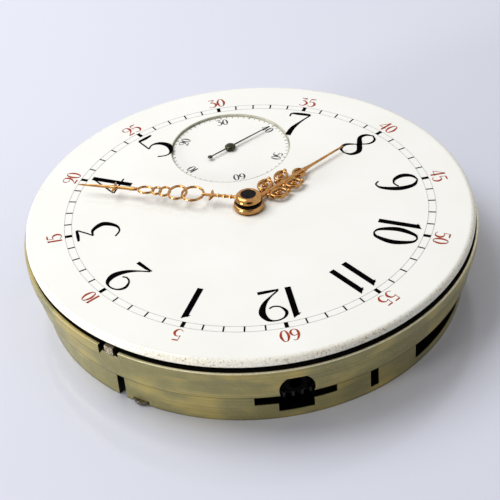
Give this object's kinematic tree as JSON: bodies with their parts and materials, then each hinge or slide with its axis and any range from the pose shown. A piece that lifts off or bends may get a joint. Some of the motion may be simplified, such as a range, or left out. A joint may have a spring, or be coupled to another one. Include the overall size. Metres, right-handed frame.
{
  "type": "pocket watch movement",
  "caption": "Open-face lever-set pocket watch movement with enamel dial, pierced gold hands, sunk seconds, going barrel, lever escapement and stem winding work",
  "frame": {"origin": "middle of the bounding box on the plane the bridges' backs lie on", "axes": "+Z out of the dial, +Y to twelve o'clock and the stem, +X to three o'clock"},
  "size_m": [0.0434, 0.0434, 0.0095],
  "materials": {
    "enamel": "white vitreous enamel on copper",
    "copper": "soldered copper feet",
    "nickel": "gilt nickel with a soft grain",
    "gold": "rose gold wash, pierced",
    "blued_steel": "flame blued",
    "brass": "gilt",
    "ruby": "polished synthetic ruby",
    "steel": "polished and grained"
  },
  "bodies": {
    "frame": {"pillar_plate": "nickel", "plate_jewels": "ruby", "dial": "enamel", "seconds_dial": "enamel", "dial_feet": "copper", "dial_foot_screws": "steel", "dial_washer": "brass", "motion_posts": "steel", "setting_lever_screw": "steel", "yoke_screw": "steel", "yoke_spring": "blued_steel", "crown_wheel_core": "steel", "click_screw": "steel", "click_spring": "blued_steel", "pallet_bridge": "nickel", "barrel_bridge": "nickel", "train_bridge": "nickel", "balance_cock": "nickel", "bridge_jewels": "ruby", "bridge_screws": "blued_steel", "case_screws": "steel", "hairspring_stud": "steel", "hairspring": "blued_steel"},
    "barrel": {"barrel_drum": "brass", "barrel_cover": "brass", "mainspring": "blued_steel"},
    "centre": {"centre_wheel": "brass", "centre_arbor": "steel"},
    "third": {"third_wheel": "brass", "third_pinion": "steel"},
    "fourth": {"fourth_wheel": "brass", "fourth_pinion": "steel", "seconds_hand": "blued_steel"},
    "escape": {"escape_wheel": "steel", "escape_pinion": "steel"},
    "cannon": {"cannon_pinion": "steel", "minute_hand": "gold"},
    "minute": {"minute_wheel": "brass"},
    "hour": {"hour_wheel": "brass", "hour_hand": "gold"},
    "setting": {"setting_wheel": "steel"},
    "ratchet": {"ratchet_wheel": "steel", "barrel_arbor": "steel"},
    "crown": {"crown_wheel": "steel"},
    "stem_arbor": {"winding_arbor": "steel"},
    "pinion": {"winding_pinion": "steel"},
    "clutch": {"clutch": "steel"},
    "lever": {"setting_lever": "steel"},
    "yoke": {"yoke": "steel"},
    "click": {"click": "steel"},
    "balance": {"balance_wheel": "brass", "balance_screws": "brass", "balance_staff": "steel", "roller_table": "steel", "roller_jewel": "ruby", "hairspring_collet": "brass"},
    "fork": {"pallet_fork": "steel", "pallet_stones": "ruby", "pallet_arbor": "steel"},
    "regulator": {"regulator": "steel"}
  },
  "joints": [
    {"name": "fourth_spin", "type": "hinge", "parent": "frame", "child": "fourth", "pos_m": [0, -0.0104, 0.0026], "axis": [0, 0, 1], "continuous": true},
    {"name": "third_spin", "type": "hinge", "parent": "frame", "child": "third", "pos_m": [-0.00324, -0.00592, 0.00175], "axis": [0, 0, 1], "continuous": true},
    {"name": "centre_spin", "type": "hinge", "parent": "frame", "child": "centre", "pos_m": [0, 0, 0.00455], "axis": [0, 0, 1], "continuous": true},
    {"name": "barrel_spin", "type": "hinge", "parent": "frame", "child": "barrel", "pos_m": [-0.00702, 0.00632, 0.0035], "axis": [0, 0, 1], "continuous": true},
    {"name": "escape_spin", "type": "hinge", "parent": "frame", "child": "escape", "pos_m": [0.0046, -0.0119, 0.00315], "axis": [0, 0, 1], "continuous": true},
    {"name": "cannon_spin", "type": "hinge", "parent": "frame", "child": "cannon", "pos_m": [0, 0, 0.006], "axis": [0, 0, 1], "continuous": true},
    {"name": "minute_spin", "type": "hinge", "parent": "frame", "child": "minute", "pos_m": [0.00164, 0.00451, 0.006], "axis": [0, 0, 1], "continuous": true},
    {"name": "hour_spin", "type": "hinge", "parent": "frame", "child": "hour", "pos_m": [0, 0, 0.0064], "axis": [0, 0, 1], "continuous": true},
    {"name": "setting_spin", "type": "hinge", "parent": "frame", "child": "setting", "pos_m": [0, 0.0107, 0.0055], "axis": [0, 0, 1], "continuous": true},
    {"name": "ratchet_spin", "type": "hinge", "parent": "frame", "child": "ratchet", "pos_m": [-0.00702, 0.00632, 0.0024], "axis": [0, 0, 1], "continuous": true},
    {"name": "crown_spin", "type": "hinge", "parent": "frame", "child": "crown", "pos_m": [0, 0.01543, 0.0024], "axis": [0, 0, 1], "continuous": true},
    {"name": "stem_spin", "type": "hinge", "parent": "frame", "child": "stem_arbor", "pos_m": [0, 0, 0.0039], "axis": [0, 1, 0], "continuous": true},
    {"name": "pinion_spin", "type": "hinge", "parent": "frame", "child": "pinion", "pos_m": [0, 0, 0.0039], "axis": [0, 1, 0], "continuous": true},
    {"name": "balance_swing", "type": "hinge", "parent": "frame", "child": "balance", "pos_m": [0.0097, -0.0056, 0.0018], "axis": [0, 0, 1], "range_deg": [-25, 25], "deforming": ["hairspring"]},
    {"name": "fork_swing", "type": "hinge", "parent": "frame", "child": "fork", "pos_m": [0.007, -0.00893, 0.0032], "axis": [0, 0, 1], "range_deg": [-6.2, 6.2]},
    {"name": "lever_pull", "type": "hinge", "parent": "frame", "child": "lever", "pos_m": [0.009, 0.0173, 0.0063], "axis": [0, 0, 1], "range_deg": [0, 7]},
    {"name": "yoke_swing", "type": "hinge", "parent": "frame", "child": "yoke", "pos_m": [0.0052, 0.015, 0.0059], "axis": [0, 0, 1], "range_deg": [0, 10]},
    {"name": "clutch_slide", "type": "slide", "parent": "stem_arbor", "child": "clutch", "axis": [0, -1, 0], "range_m": [0, 0.0009]},
    {"name": "click_lift", "type": "hinge", "parent": "frame", "child": "click", "pos_m": [-0.00858, 0.01516, 0.0023], "axis": [0, 0, -1], "range_deg": [0, 8]},
    {"name": "regulator_turn", "type": "hinge", "parent": "frame", "child": "regulator", "pos_m": [0.0097, -0.0056, 0.0002], "axis": [0, 0, 1], "range_deg": [-10, 10]}
  ],
  "couplings": [
    {"joint": "third_spin", "follows": "fourth_spin", "ratio": -0.13333},
    {"joint": "centre_spin", "follows": "fourth_spin", "ratio": 0.016667},
    {"joint": "barrel_spin", "follows": "fourth_spin", "ratio": -0.0025641},
    {"joint": "escape_spin", "follows": "fourth_spin", "ratio": -10},
    {"joint": "minute_spin", "follows": "cannon_spin", "ratio": -0.33333},
    {"joint": "hour_spin", "follows": "cannon_spin", "ratio": 0.083333},
    {"joint": "setting_spin", "follows": "cannon_spin", "ratio": 0.42857},
    {"joint": "crown_spin", "follows": "ratchet_spin", "ratio": -1.5556},
    {"joint": "stem_spin", "follows": "ratchet_spin", "ratio": -5.6},
    {"joint": "pinion_spin", "follows": "ratchet_spin", "ratio": -5.6},
    {"joint": "fork_swing", "follows": "balance_swing", "ratio": -0.2471},
    {"joint": "lever_pull", "follows": "clutch_slide", "rad_per_m": 135},
    {"joint": "yoke_swing", "follows": "clutch_slide", "rad_per_m": 190}
  ]
}
